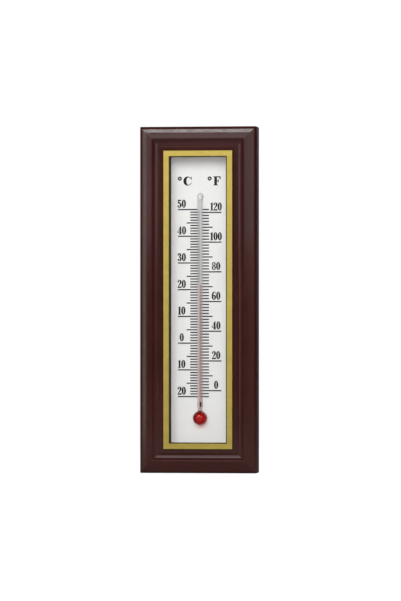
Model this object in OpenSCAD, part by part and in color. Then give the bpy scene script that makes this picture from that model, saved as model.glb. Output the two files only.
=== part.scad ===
// Wall thermometer: a moulded frame round a gold trim, a scale plate and a red spirit tube.
// X runs left to right and Z upwards. The wall is the plane Y = 0, and the front faces -Y.
// Names that end in _out are distances from the wall towards the front.
// Names that end in _in are distances inwards from the frame's outer edge, the same on all four sides.

/* [Frame] */
// Width of the frame
frame_w = 68; // [60:0.5:80]
// Height of the frame
frame_h = 200; // [190:1:230]
// Distance from the wall to the ridge, before its edge is rounded
ridge_out = 13; // [12.6:0.1:15]
// Distance from the frame's edge to the ridge
ridge_in = 7.3; // [6.9:0.1:7.5]
// Radius of the rounded edge along the ridge
arris_r = 0.6; // [0.3:0.1:0.8]
// Radius of the shoulder between the side wall and the crowned face
shoulder_r = 2.4; // [1.8:0.1:3]
// Radius of the crowned face between the shoulder and the ridge
crown_r = 24; // [20:1:40]
// Slope of the crowned face where it meets the ridge, in degrees
crown_slope = 6; // [2:1:10]
// Radius of the frame's four outer corners
corner_r = 0.8; // [0.4:0.1:1.5]
// Distance from the frame's edge to the foot of the cove
cove_in = 11; // [10.6:0.1:11.4]
// Depth of the cove below the ridge
cove_d = 1.8; // [1.4:0.1:1.9]
// Width of the gap between the cove's foot and the land
land_gap = 0.2; // [0.1:0.05:0.4]
// Height of the land above the cove's foot
land_rise = 0.5; // [0.4:0.1:0.8]
// Radius of the land's outer edge
land_edge_r = 0.4; // [0.2:0.05:0.4]

/* [Moulding walls] */
// Thickness of the frame's outer wall
wall = 2; // [1.6:0.1:2.4]
// Thickness of the wall round the window
window_wall = 1.6; // [1.2:0.1:2]
// Thickness of the ledge that carries the gold trim
ledge_t = 1.8; // [1.4:0.1:2.4]
// Thickness of the frame under the ridge
ridge_skin = 2; // [1.9:0.1:2.4]
// Thickness of the stiffening ribs
rib_t = 1.2; // [0.8:0.1:1.6]
// Gap between the ribs and the back cover
rib_gap = 0.8; // [0.4:0.1:1.2]

/* [Gold trim] */
// Distance from the frame's edge to the trim
trim_in = 13.8; // [13.6:0.1:14.2]
// Width of the trim's face
trim_w = 3.9; // [3.7:0.1:4.3]
// Thickness of the trim
trim_t = 1.4; // [1.2:0.1:1.8]
// Height of the trim's face above the land
trim_proud = 0.9; // [0.4:0.1:1.1]
// Width of the bevel along the trim's inner edge
trim_bevel = 0.7; // [0.4:0.1:0.9]
// Width of the bevel along the trim's outer edge
trim_edge = 0.2; // [0.1:0.05:0.3]
// Gap between the trim and the frame round it
trim_gap = 0.25; // [0.15:0.05:0.4]
// How far the trim overhangs the window's wall
trim_overhang = 0.3; // [0.05:0.05:0.5]
// Number of pegs along each long side
long_pegs = 5; // [3:1:6]
// Number of pegs along each short side
short_pegs = 2; // [2:1:3]
// Radius of a peg
peg_r = 0.6; // [0.4:0.05:0.65]
// Distance from the trim's outer edge to a peg's axis
peg_inset = 0.75; // [0.7:0.05:0.8]
// Radius of a peg's staked head
peg_head_r = 0.95; // [0.85:0.05:1]
// Height of a peg's staked head
peg_head_t = 0.6; // [0.4:0.1:1]

/* [Scale plate] */
// Thickness of the scale plate
plate_t = 0.8; // [0.6:0.1:1.2]
// How far the plate reaches behind the window's wall on each side
plate_lap = 5; // [4.4:0.1:5.2]
// Lowest line of the scale, in degrees Celsius
scale_low = -20; // [-20:10:-10]
// Highest line of the scale, in degrees Celsius
scale_high = 50; // [40:10:50]
// Distance between two Celsius lines
degree_pitch = 1.545; // [1.4:0.005:1.6]
// Height of the line for 0 degrees Celsius above the frame's middle
zero_z = -25; // [-26:0.5:-22]
// Reading that the thermometer is stored at, in degrees Celsius
reading = 22; // [0:1:40]
// Width of a printed line
line_w = 0.7; // [0.4:0.05:0.8]
// Thickness of the printed ink
ink_t = 0.05; // [0.03:0.01:0.08]
// Distance from the stem's middle to the near end of every line
line_start = 0.5; // [0.3:0.1:1.5]
// Distance from the stem's middle to the far end of a short line
short_end = 5.45; // [4.5:0.05:6]
// Distance from the stem's middle to the far end of a middle line
middle_end = 7.55; // [6.5:0.05:8.5]
// Distance from the stem's middle to the far end of a long line
long_end = 12.7; // [10:0.1:14]

/* [Glass tube] */
// How far the stem's axis lies to the right of the plate's middle
stem_x = 0.5; // [-0.6:0.1:0.6]
// Radius of the stem
stem_r = 1.55; // [1.45:0.05:1.8]
// Gap between the stem and the scale plate
stem_gap = 0.15; // [0.1:0.05:0.4]
// Radius of the bulb
bulb_r = 4.2; // [3.6:0.1:4.4]
// Thickness of the bulb's glass
bulb_glass = 0.7; // [0.5:0.05:1]
// Height of the bulb's middle above the frame's middle
bulb_z = -68.3; // [-70:0.1:-67]
// Radius of the stem at the waist above the bulb
waist_r = 1.25; // [1.2:0.05:1.4]
// Radius of the curve that forms the waist
waist_curve_r = 2.2; // [1.8:0.1:3]
// Height of the bent end's axis above the frame's middle
tail_z = 60; // [58:0.5:66]
// Radius of the bend, along the stem's axis
bend_r = 2; // [1.9:0.05:2.3]
// Gap between the bent end and the back cover
tail_gap = 0.4; // [0.2:0.1:0.8]
// Bevel round the sealed tip of the bent end
tail_bevel = 0.3; // [0.2:0.05:0.6]
// Glass left between the bore and the sealed tip
seal_t = 0.8; // [0.6:0.1:1.2]
// Width of the flat bore
bore_w = 1; // [0.8:0.05:1.1]
// How far behind the stem's axis the bore lies
bore_back = 0.75; // [0.5:0.05:0.8]

/* [Spirit] */
// Share by which the spirit grows for each degree Celsius
spirit_growth = 0.0011; // [0.0009:0.0001:0.0012]
// Gap left between the spirit and the glass
spirit_gap = 0.02; // [0.01:0.01:0.03]
// Length of the thread's tip
tip_l = 5; // [3:0.5:6]
// Length of the neck of spirit above the bulb's hollow
neck_l = 0.5; // [0.3:0.1:1]

/* [Backing] */
// Thickness of the back cover
cover_t = 1.8; // [1.4:0.1:2.2]
// Gap between the back cover and the frame's outer wall
cover_gap = 0.15; // [0.1:0.05:0.3]
// Thickness of the foam backing behind the plate
backing_t = 2; // [1.8:0.1:3]
// Width of the cover's rib that presses on the plate's rim
press_rib = 1.2; // [0.8:0.1:1.4]
// Distance from the plate's edge to that rib
press_inset = 0.6; // [0.3:0.1:0.8]
// Gap between the pressing rib and the foam
foam_gap = 0.3; // [0.1:0.1:0.6]
// Outer radius of the rubber sleeve on the bent end
sleeve_r = 3; // [2.5:0.1:4]
// Gap between pieces that only slip past each other
slip = 0.1; // [0.05:0.05:0.2]

/* [Hanging and screws] */
// Radius of the keyhole's round entry
key_r = 4; // [3.5:0.1:4.2]
// Width of the keyhole's slot
slot_w = 4; // [3:0.1:4.2]
// How far the hanger slides up the slot
slot_rise = 4; // [3:0.1:4.2]
// Distance from the frame's top edge to the middle of the keyhole's entry
key_in = 10; // [9.8:0.1:10.4]
// Distance from the frame's edges to a screw's axis
screw_in = 7.2; // [6.8:0.1:7.6]
// Radius of a screw's core
screw_r = 0.9; // [0.8:0.05:1.1]
// Length of a screw, with its head
screw_l = 8; // [6:0.5:8.5]
// Radius of a screw's head
head_r = 2; // [1.8:0.05:2.2]
// Depth of a screw's countersunk head
head_t = 1.1; // [0.9:0.05:1.2]
// How deep a screw's head sits in the cover
head_sink = 0.1; // [0.05:0.05:0.2]
// Radius of a screw boss
boss_r = 2.7; // [2.4:0.1:3]
// Width of an arm of the cross recess
cross_w = 0.5; // [0.4:0.05:0.7]
// Length of an arm of the cross recess, from tip to tip
cross_l = 2.4; // [2:0.1:2.8]
// Depth of the cross recess
cross_d = 0.7; // [0.4:0.1:0.8]

/* [Hidden] */

$fn = 64;
// How far a cut runs past the face that it opens
past = 1;
// How far pieces of one solid reach into each other
sink = 0.05;
// Longer than any piece, for sections that are cut to length later
endless = 2 * (frame_w + frame_h);

// Levels from the wall to the front
land_out = ridge_out - cove_d + land_rise;
face_out = land_out + trim_proud;
ledge_out = face_out - trim_t;
ceiling_out = ledge_out - ledge_t;
core_out = ridge_out - ridge_skin;
plate_back_out = cover_t + backing_t;
plate_out = plate_back_out + plate_t;
stem_out = plate_out + stem_gap + stem_r;
tail_out = cover_t + tail_gap;

// Steps inwards from the frame's edge
land_in = cove_in + land_gap;
ledge_in = trim_in - trim_gap;
window_in = trim_in + trim_w - trim_overhang;
channel_in = window_in - window_wall;
plate_in = window_in - plate_lap;
press_in = plate_in + press_inset;
foam_in = press_in + press_rib + foam_gap;
peg_in = trim_in + peg_inset;
core_start = wall + shoulder_r / 2;
core_end = ridge_in + arris_r / 2;

// The arcs of the frame's section, as points [distance in, distance out]
crown_c = [ridge_in + crown_r * sin(crown_slope), ridge_out - crown_r * cos(crown_slope)];
shoulder_c = [
  shoulder_r,
  crown_c.y + sqrt(pow(crown_r - shoulder_r, 2) - pow(crown_c.x - shoulder_r, 2))
];
cove_w = cove_in - ridge_in;
cove_r = (cove_w * cove_w + cove_d * cove_d) / (2 * cove_d);
cove_c = [cove_in, ridge_out - cove_d + cove_r];
arris_c = lower_meet(crown_c, crown_r - arris_r, cove_c, cove_r + arris_r);
crown_start = along(crown_c, shoulder_c, crown_r);
cove_start = along(cove_c, arris_c, cove_r);
// The ridge is levelled off where its rounded edge reaches this slope, in degrees
crest_slope = 15;
crest_out = arris_c.y + arris_r * cos(crest_slope);
crest_start = crown_c.x - sqrt(pow(crown_r, 2) - pow(crest_out - crown_c.y, 2));
crest_end = arris_c.x + arris_r * sin(crest_slope);

// The bore's thickness follows from the bulb: what the spirit gains in one degree fills one pitch
cavity_r = bulb_r - bulb_glass;
cavity_volume = 4 / 3 * PI * pow(cavity_r, 3);
bore_area = cavity_volume * spirit_growth / degree_pitch;
end_loss = 1 - PI / 4;
bore_t = (bore_w - sqrt(bore_w * bore_w - 4 * end_loss * bore_area)) / (2 * end_loss);
bore_out = stem_out - bore_back;

// Heights along the tube
bend_z = tail_z - bend_r;
neck_z = bulb_z + cavity_r + neck_l;
level_z = zero_z + reading * degree_pitch;
waist_z = bulb_z + bulb_r + (stem_r - waist_r) + (bulb_r - cavity_r) / 2;
key_z = frame_h / 2 - key_in;

// Where the tube's round ends lie, seen from the front
bulb_spot = [stem_x, bulb_z];
tail_spot = [stem_x, tail_z];

// The room that a nail's head needs behind the cover
nail_room_w = 2 * (key_r + slip + cover_gap) + sink;
nail_room_z = key_z - key_r - slip - cover_gap;

screw_spots = [
  for (x = [-1, 1], z = [-1, 0, 1])
    [x * (frame_w / 2 - screw_in), z * (frame_h / 2 - screw_in)]
];
long_spots = spread(long_pegs, frame_h - 2 * window_in);
short_spots = spread(short_pegs, frame_w - 2 * window_in);
peg_spots = [
  for (side = [-1, 1], z = long_spots) [side * (frame_w / 2 - peg_in), z],
  for (side = [-1, 1], x = short_spots) [x, side * (frame_h / 2 - peg_in)]
];
long_ribs = between(long_pegs, frame_h - 2 * window_in);
short_ribs = [
  for (x = between(short_pegs, frame_w - 2 * window_in))
    if (abs(x) > key_r + rib_t) x
];

// Point at a distance from a, on the way to b
function along(a, b, distance) = a + (b - a) / norm(b - a) * distance;

// Where two circles meet, on the side that is nearer the wall
function lower_meet(a, ra, b, rb) =
  let (
    d = norm(b - a),
    near = (ra * ra - rb * rb + d * d) / (2 * d),
    off = sqrt(ra * ra - near * near),
    way = (b - a) / d,
    one = a + way * near + [way.y, -way.x] * off,
    two = a + way * near - [way.y, -way.x] * off
  )
  norm(one - [ridge_in, ridge_out]) < norm(two - [ridge_in, ridge_out]) ? one : two;

// Middles of count equal parts of a span
function spread(count, span) = [for (i = [0 : count - 1]) ((i + 0.5) / count - 0.5) * span];

// Ends of count equal parts of a span
function between(count, span) = [for (i = [0 : count]) (i / count - 0.5) * span];

// Radius of the bulb's section at a distance from its middle
function bulb_section(distance) = sqrt(bulb_r * bulb_r - distance * distance);

function to_fahrenheit(celsius) = celsius * 9 / 5 + 32;

function to_celsius(fahrenheit) = (fahrenheit - 32) * 5 / 9;

// A section drawn with X across and Y away from the wall, run upwards
module run_up(length) {
  linear_extrude(length, center = true) mirror([0, 1]) children();
}

// The same section run from side to side
module run_across(length) {
  rotate([0, -90, 0]) run_up(length) children();
}

// A section drawn at one edge, set at both edges of a span
module at_both_edges(span) {
  for (side = [0, 1]) mirror([side, 0]) translate([-span / 2, 0]) children();
}

// The form where a section across the width meets a section across the height in mitred corners
module mitred() {
  intersection() {
    run_up(endless) children(0);
    run_across(endless) children(1);
  }
}

// A block whose four sides lie a distance in from the frame's edge
module block(distance_in, from_out, to_out) {
  size = [frame_w - 2 * distance_in, to_out - from_out, frame_h - 2 * distance_in];
  translate([0, -(from_out + to_out) / 2, 0]) cube(size, center = true);
}

// A ring between two distances in from the frame's edge
module ring(outer_in, inner_in, from_out, to_out) {
  difference() {
    block(outer_in, from_out, to_out);
    block(inner_in, from_out - past, to_out + past);
  }
}

// A round bar square to the wall, at [x, z]
module bar(spot, from_out, to_out, radius, end_radius) {
  translate([spot.x, -from_out, spot.y]) rotate([90, 0, 0])
    cylinder(h = to_out - from_out, r1 = radius, r2 = is_undef(end_radius) ? radius : end_radius);
}

// The frame's section from its edge to beyond the ridge, without the cove
module crown_section(span) {
  at_both_edges(span) {
    square([span / 2 + sink, shoulder_c.y]);
    intersection() {
      translate(shoulder_c) circle(shoulder_r);
      square([crown_start.x, ridge_out]);
    }
    intersection() {
      translate(crown_c) circle(crown_r);
      translate([crown_start.x, 0]) square([crest_start - crown_start.x, crest_out]);
    }
    translate([crest_start, 0]) square([span / 2 - crest_start + sink, crest_out]);
  }
}

// The space above the cove and everything inside it
module cove_section(span) {
  at_both_edges(span) {
    difference() {
      translate([crest_end, cove_start.y]) square([cove_start.x - crest_end, ridge_out]);
      translate(arris_c) circle(arris_r);
    }
    intersection() {
      translate(cove_c) circle(cove_r);
      translate([cove_start.x, 0]) square([cove_in - cove_start.x, cove_c.y]);
    }
    translate([cove_start.x, ridge_out]) square([cove_in - cove_start.x, cove_c.y - ridge_out]);
    translate([cove_in, ridge_out - cove_d]) square([span / 2 - cove_in + sink, cove_c.y]);
  }
}

// The land inside the cove, with its outer edge rounded
module land_section(span) {
  edge_c = [land_in + land_edge_r, land_out - land_edge_r];
  at_both_edges(span) {
    translate([land_in, ceiling_out])
      square([span / 2 - land_in + sink, edge_c.y - ceiling_out]);
    translate([edge_c.x, ceiling_out])
      square([span / 2 - edge_c.x + sink, land_out - ceiling_out]);
    translate(edge_c) circle(land_edge_r);
  }
}

// A stiffening rib, with the step that holds the scale plate's edge
module rib_section(span) {
  at_both_edges(span)
    polygon([
      [wall - sink, cover_t + rib_gap],
      [plate_in - slip, cover_t + rib_gap],
      [plate_in - slip, plate_out],
      [channel_in + sink, plate_out],
      [channel_in + sink, ceiling_out + sink],
      [wall - sink, ceiling_out + sink]
    ]);
}

// The blank that the front of the frame is cut from, with rounded corners
module frame_blank() {
  straight_w = frame_w - 2 * corner_r;
  straight_h = frame_h - 2 * corner_r;
  translate([0, -ridge_out / 2, 0]) cube([frame_w, ridge_out, straight_h], center = true);
  translate([0, -ridge_out / 2, 0]) cube([straight_w, ridge_out, frame_h], center = true);
  for (x = [-1, 1], z = [-1, 1])
    bar([x * straight_w / 2, z * straight_h / 2], 0, ridge_out, corner_r);
}

// The moulded front, before it is hollowed
module frame_front() {
  difference() {
    intersection() {
      frame_blank();
      mitred() {
        crown_section(frame_w);
        crown_section(frame_h);
      }
    }
    mitred() {
      cove_section(frame_w);
      cove_section(frame_h);
    }
  }
  mitred() {
    land_section(frame_w);
    land_section(frame_h);
  }
}

module frame() color("#40272a") {
  difference() {
    union() {
      difference() {
        frame_front();
        block(ledge_in, ledge_out, ridge_out + past);
        block(window_in, -past, ridge_out);
        block(wall, -past, plate_out);
        ring(wall, channel_in, plate_out - sink, ceiling_out);
        ring(core_start, core_end, ceiling_out - sink, core_out);
        for (spot = peg_spots) bar(spot, ceiling_out - past, ledge_out + past, peg_r + slip / 2);
      }
      for (z = long_ribs) translate([0, 0, z]) run_up(rib_t) rib_section(frame_w);
      for (x = short_ribs) translate([x, 0, 0]) run_across(rib_t) rib_section(frame_h);
      for (spot = screw_spots) bar(spot, cover_t, core_out + sink, boss_r);
    }
    for (spot = screw_spots) bar(spot, cover_t - past, screw_l + slip + head_sink, screw_r + sink);
  }
}

// The trim's outer form, with a small bevel along its front edge
module trim_section(span) {
  half = span / 2 - trim_in;
  polygon([
    [-half, ledge_out], [half, ledge_out], [half, face_out - trim_edge],
    [half - trim_edge, face_out], [trim_edge - half, face_out], [-half, face_out - trim_edge]
  ]);
}

// The trim's window, which opens out along the bevel
module trim_window_section(span) {
  half = span / 2 - trim_in - trim_w;
  open = half + trim_bevel + past;
  polygon([
    [-half, ledge_out - past], [half, ledge_out - past], [half, face_out - trim_bevel],
    [open, face_out + past], [-open, face_out + past], [-half, face_out - trim_bevel]
  ]);
}

module gold_trim() color("#c8b257") {
  difference() {
    mitred() {
      trim_section(frame_w);
      trim_section(frame_h);
    }
    mitred() {
      trim_window_section(frame_w);
      trim_window_section(frame_h);
    }
  }
  for (spot = peg_spots) {
    bar(spot, ceiling_out, ledge_out + sink, peg_r);
    bar(spot, ceiling_out - peg_head_t, ceiling_out, peg_head_r / 2, peg_head_r);
  }
}

// The gap in the plate, the foam and the pressing rib that leaves room for a nail's head
module nail_room() {
  translate([-nail_room_w / 2, -plate_out - past, nail_room_z])
    cube([nail_room_w, plate_out + past - cover_t, frame_h / 2 - wall - nail_room_z]);
}

// A round hole that the bulb sits in, in a sheet whose front lies a distance from the wall
module bulb_hole(back_out, front_out) {
  bar(bulb_spot, back_out - past, front_out + past, bulb_section(stem_out - front_out) + slip);
}

module scale_plate() color("#e9e9e9") {
  difference() {
    block(plate_in, plate_back_out, plate_out);
    bulb_hole(plate_back_out, plate_out);
    bar(tail_spot, plate_back_out - past, plate_out + past, stem_r + 2 * slip);
    nail_room();
  }
}

// One printed line to the left or right of the stem, side being -1 or 1
module scale_line(side, celsius, end) {
  middle = side * (line_start + end) / 2;
  translate([middle, -plate_out - ink_t / 2, zero_z + celsius * degree_pitch])
    cube([end - line_start, ink_t, line_w], center = true);
}

module celsius_lines() color("#1d1d1f") {
  for (c = [scale_low : scale_high])
    scale_line(-1, c, c % 10 == 0 ? long_end : c % 5 == 0 ? middle_end : short_end);
}

module fahrenheit_lines() color("#1d1d1f") {
  for (f = [to_fahrenheit(scale_low) : 2 : to_fahrenheit(scale_high)])
    scale_line(1, to_celsius(f), f % 20 == 0 ? long_end : f % 10 == 0 ? middle_end : short_end);
}

// The bore's flat section with round ends, drawn across X, less a gap all round
module bore_section(gap) {
  half = bore_w / 2 - bore_t / 2;
  thick = bore_t - 2 * gap;
  square([2 * half, thick], center = true);
  for (side = [-1, 1]) translate([side * half, 0]) circle(d = thick);
}

// A length of the bore, or of the spirit in it
module bore_run(from_z, to_z, gap) {
  translate([stem_x, -bore_out, from_z]) linear_extrude(to_z - from_z) bore_section(gap);
}

// A quarter turn backwards from the top of the stem
module bend() {
  translate([stem_x, bend_r - stem_out, bend_z]) rotate([90, 0, -90])
    rotate_extrude(angle = 90) children();
}

module tube_glass() {
  translate([stem_x, -stem_out, bulb_z]) {
    sphere(bulb_r);
    difference() {
      cylinder(h = bend_z - bulb_z, r = stem_r);
      translate([0, 0, waist_z - bulb_z]) rotate_extrude()
        translate([waist_r + waist_curve_r, 0]) circle(waist_curve_r);
    }
  }
  bend() translate([bend_r, 0]) circle(stem_r);
  bar(tail_spot, tail_out + tail_bevel, stem_out - bend_r, stem_r);
  bar(tail_spot, tail_out, tail_out + tail_bevel, stem_r - tail_bevel, stem_r);
}

module tube_hollow() {
  translate([stem_x, -stem_out, bulb_z]) sphere(cavity_r);
  bore_run(bulb_z, bend_z, 0);
  bend() translate([bend_r - bore_back, 0]) rotate(90) bore_section(0);
  translate([stem_x, bend_r - stem_out, tail_z - bore_back]) rotate([-90, 0, 0])
    linear_extrude(stem_out - bend_r - tail_out - seal_t) bore_section(0);
}

module glass_tube() color("#cfdcdf", 0.5) {
  difference() {
    tube_glass();
    tube_hollow();
  }
}

module bulb_spirit() color("#b3141a") {
  translate([stem_x, -stem_out, bulb_z]) sphere(cavity_r - spirit_gap);
  bore_run(bulb_z, neck_z, spirit_gap);
}

module spirit_thread() color("#b3141a") {
  bore_run(neck_z, level_z - tip_l, spirit_gap);
}

module thread_tip() color("#d0262c") {
  bore_run(level_z - tip_l, level_z, spirit_gap);
}

module tail_sleeve() color("#a8a6a2") {
  difference() {
    bar(tail_spot, cover_t + tail_gap / 2, plate_back_out, sleeve_r);
    bar(tail_spot, cover_t - past, plate_back_out + past, stem_r + spirit_gap);
  }
}

module foam_backing() color("#5b5e63") {
  difference() {
    block(foam_in, cover_t, plate_back_out);
    bulb_hole(cover_t, plate_back_out);
    bar(tail_spot, cover_t - past, plate_back_out + past, sleeve_r + slip);
    nail_room();
  }
}

// A round entry with a slot above it, cut through the cover
module keyhole() {
  translate([0, past, key_z]) rotate([90, 0, 0]) linear_extrude(cover_t + 2 * past) {
    circle(key_r);
    translate([-slot_w / 2, 0]) square([slot_w, slot_rise]);
    translate([0, slot_rise]) circle(d = slot_w);
  }
}

module back_cover() color("#36211f") {
  difference() {
    union() {
      block(wall + cover_gap, 0, cover_t);
      ring(press_in, press_in + press_rib, cover_t - sink, plate_back_out);
    }
    nail_room();
    keyhole();
    for (spot = screw_spots) {
      bar(spot, -past, cover_t + past, screw_r + 2 * slip);
      bar(spot, head_sink, head_sink + head_t, head_r + sink, screw_r + sink);
      bar(spot, -past, head_sink, head_r + sink);
    }
  }
}

// A countersunk screw with a cross recess and a pointed end, its head at the cover's face
module cover_screw() {
  point_l = 2 * screw_r;
  difference() {
    union() {
      cylinder(h = head_t, r1 = head_r, r2 = screw_r);
      cylinder(h = screw_l - point_l, r = screw_r);
      translate([0, 0, screw_l - point_l]) cylinder(h = point_l, r1 = screw_r, r2 = screw_r / 4);
    }
    for (turn = [0, 90]) rotate(turn) cube([cross_l, cross_w, 2 * cross_d], center = true);
  }
}

module cover_screws() color("#b9babd") {
  for (spot = screw_spots) translate([spot.x, -head_sink, spot.y]) rotate([90, 0, 0]) cover_screw();
}

frame();
gold_trim();
scale_plate();
celsius_lines();
fahrenheit_lines();
glass_tube();
bulb_spirit();
spirit_thread();
thread_tip();
tail_sleeve();
foam_backing();
back_cover();
cover_screws();
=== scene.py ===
"""Looks of a wall thermometer: a brown frame, a gold trim, a printed plate and a glass tube of red spirit.

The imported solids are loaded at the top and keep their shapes. This file gives them their finishes, prints the
figures, softens the foam and the rubber, fills the tube, and sets the stage.
"""

import math

import bmesh
import bpy
from mathutils import Euler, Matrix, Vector


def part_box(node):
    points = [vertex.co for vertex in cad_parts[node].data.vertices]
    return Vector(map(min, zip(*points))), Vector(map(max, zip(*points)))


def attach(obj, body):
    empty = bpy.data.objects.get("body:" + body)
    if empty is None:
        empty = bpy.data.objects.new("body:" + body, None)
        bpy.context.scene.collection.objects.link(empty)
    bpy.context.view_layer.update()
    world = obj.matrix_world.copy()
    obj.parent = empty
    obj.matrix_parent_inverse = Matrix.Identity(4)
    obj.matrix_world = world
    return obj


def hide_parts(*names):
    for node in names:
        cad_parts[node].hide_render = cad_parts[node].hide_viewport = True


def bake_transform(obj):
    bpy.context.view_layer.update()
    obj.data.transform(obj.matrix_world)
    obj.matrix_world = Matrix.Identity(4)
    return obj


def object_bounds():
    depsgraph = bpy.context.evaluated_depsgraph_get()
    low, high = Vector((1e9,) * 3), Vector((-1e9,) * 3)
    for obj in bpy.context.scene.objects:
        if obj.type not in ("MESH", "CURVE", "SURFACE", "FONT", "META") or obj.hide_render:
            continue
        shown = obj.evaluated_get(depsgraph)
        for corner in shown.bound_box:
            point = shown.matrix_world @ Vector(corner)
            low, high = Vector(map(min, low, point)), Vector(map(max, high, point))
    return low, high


bl_info = {
    "name": "Wall Thermometer",
    "version": (1, 0, 0),
    "blender": (4, 5, 0),
    "location": "3D View > Sidebar > Thermometer",
    "description": "Finishes the solids of a wall thermometer, prints its scale and sets its stage",
    "category": "Object",
}

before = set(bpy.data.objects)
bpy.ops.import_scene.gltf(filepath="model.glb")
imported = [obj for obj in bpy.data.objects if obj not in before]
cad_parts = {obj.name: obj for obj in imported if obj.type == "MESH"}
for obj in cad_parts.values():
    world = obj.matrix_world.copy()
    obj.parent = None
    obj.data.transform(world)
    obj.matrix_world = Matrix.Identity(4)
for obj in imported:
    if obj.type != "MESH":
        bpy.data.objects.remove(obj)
cad_low, cad_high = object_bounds()

MM = 0.001
HOUSING = "housing"
SPIRIT_LEVEL = "spirit_level"


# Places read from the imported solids

trim_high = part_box("gold_trim")[1]
tube_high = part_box("glass_tube")[1]
lines_low, lines_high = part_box("celsius_lines")
bulb_low, bulb_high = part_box("bulb_spirit")
thread_low, thread_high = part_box("spirit_thread")
tip_low, tip_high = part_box("thread_tip")
sleeve_low, sleeve_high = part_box("tail_sleeve")

# The middle of a printed line is the place of its temperature
LINE_HEIGHT = 0.7 * MM
WARMEST = 50
COLDEST = -20
TOP_LINE = lines_high.z - LINE_HEIGHT / 2
DEGREE = (TOP_LINE - lines_low.z - LINE_HEIGHT / 2) / (WARMEST - COLDEST)
INK_FRONT = lines_low.y
PLATE_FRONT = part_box("scale_plate")[0].y

STEM_X = (thread_low.x + thread_high.x) / 2
SPIRIT_RADIUS = (bulb_high.y - bulb_low.y) / 2
BULB_CENTRE = Vector((STEM_X, (bulb_low.y + bulb_high.y) / 2, bulb_low.z + SPIRIT_RADIUS))
# Half the thickness of the bulb's glass
HALF_WALL = (tube_high.x - bulb_high.x) / 2
TAIL_PLACE = Vector((STEM_X, 0, (sleeve_low.z + sleeve_high.z) / 2))


def celsius_height(degrees):
    """The height on the plate of a temperature in degrees Celsius."""
    return TOP_LINE - (WARMEST - degrees) * DEGREE


def fahrenheit_height(degrees):
    """The height on the plate of a temperature in degrees Fahrenheit."""
    return celsius_height((degrees - 32) * 5 / 9)


# Colours

def linear(code):
    """Linear red, green and blue of an sRGB hex code."""
    values = [int(code[i : i + 2], 16) / 255 for i in (0, 2, 4)]
    return tuple(v / 12.92 if v <= 0.04045 else ((v + 0.055) / 1.055) ** 2.4 for v in values)


def opaque(colour):
    """A colour with full alpha, as a colour socket takes it."""
    return (*colour, 1.0)


# Settings

def size_setting(name, description, default):
    """A length that the sidebar shows in the scene's units."""
    return bpy.props.FloatProperty(
        name=name, description=description, default=default, min=0, precision=5, unit="LENGTH"
    )


def colour_setting(name, description, code):
    """A colour whose default is an sRGB hex code."""
    return bpy.props.FloatVectorProperty(
        name=name, description=description, default=linear(code), size=3, min=0, max=1, subtype="COLOR"
    )


def power_setting(name, description, default):
    """The power of a lamp in watts."""
    return bpy.props.FloatProperty(
        name=name, description=description, default=default, min=0, subtype="POWER"
    )


class ThermometerHousingSettings(bpy.types.PropertyGroup):
    """Finishes of the frame, the trim, the cover and what they hold"""

    frame_colour: colour_setting("Frame", "Brown of the moulded frame", "3c1b18")
    trim_colour: colour_setting("Trim", "Gold of the trim", "f5dc72")
    cover_colour: colour_setting("Back cover", "Brown of the back cover", "2b1513")
    foam_colour: colour_setting("Foam", "Grey of the foam behind the plate", "c9c7c0")
    foam_edge: size_setting("Foam edge", "How far the foam's cut edges are rounded", 0.35 * MM)
    rubber_colour: colour_setting("Rubber", "Colour of the sleeve on the tube's bent end", "b7b4ae")
    rubber_edge: size_setting("Rubber edge", "How far the sleeve's rims are rounded", 0.3 * MM)
    zinc_colour: colour_setting("Screws", "Colour of the plated screws", "c4c6c8")


class ThermometerScaleSettings(bpy.types.PropertyGroup):
    """Colours of the plate and its ink, and the sizes and places of its signs"""

    plate_colour: colour_setting("Plate", "White of the scale plate", "ececea")
    ink_colour: colour_setting("Ink", "Black of the printed scale", "0b0a0a")
    figure_height: size_setting("Figures", "Height of the scale's numbers", 4.65 * MM)
    figure_lift: size_setting("Figure lift", "From a line's middle up to the foot of its number", 1.05 * MM)
    figure_gap: size_setting("Figure gap", "Between the digits of a number", 0.06 * MM)
    heading_height: size_setting("Headings", "Height of the letters C and F", 5.2 * MM)
    heading_foot: size_setting("Heading foot", "From the top line up to the foot of the letters", 13.9 * MM)
    ring_radius: size_setting("Degree ring", "Outer radius of the degree signs", 1.2 * MM)
    celsius_middle: size_setting(
        "Celsius", "From the plate's middle left to the middle of the numbers", 10.45 * MM
    )
    fahrenheit_middle: size_setting(
        "Fahrenheit", "From the plate's middle right to the middle of the numbers", 9.6 * MM
    )


class ThermometerTubeSettings(bpy.types.PropertyGroup):
    """Colours of the glass and the spirit"""

    glass_tint: colour_setting("Glass", "What the glass lets through", "fefefe")
    spirit_colour: colour_setting("Spirit", "Red of the dyed spirit in the bulb", "ee0b06")
    thread_top: colour_setting("Thread, top", "What the thread lets through at its top", "fdf6f5")
    thread_foot: colour_setting("Thread, foot", "What the thread lets through at its foot", "fdf0ef")


class ThermometerStageSettings(bpy.types.PropertyGroup):
    """The floor and the strength of the lights"""

    floor_colour: colour_setting("Floor", "Colour of the floor", "a8a7a4")
    room_light: bpy.props.FloatProperty(
        name="Room", description="Strength of the light from the room", default=0.33, min=0
    )
    front_light: power_setting("Front", "Power of the lamp in front", 3.0)
    top_light: power_setting("Top", "Power of the soft lamp above", 6.5)
    broad_light: power_setting("Broad", "Power of the broad lamp above", 0.66)
    left_light: power_setting("Left", "Power of the lamp on the left of the broad one", 0.35)
    right_light: power_setting("Right", "Power of the lamp on the right of the broad one", 0.5)
    strip_light: power_setting("Strip", "Power of the long lamp high above", 0.64)
    back_light: power_setting("Back", "Power of the lamp behind", 7.0)
    side_light: power_setting("Side", "Power of the narrow lamp far to the left", 0.15)


# Nodes

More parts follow.
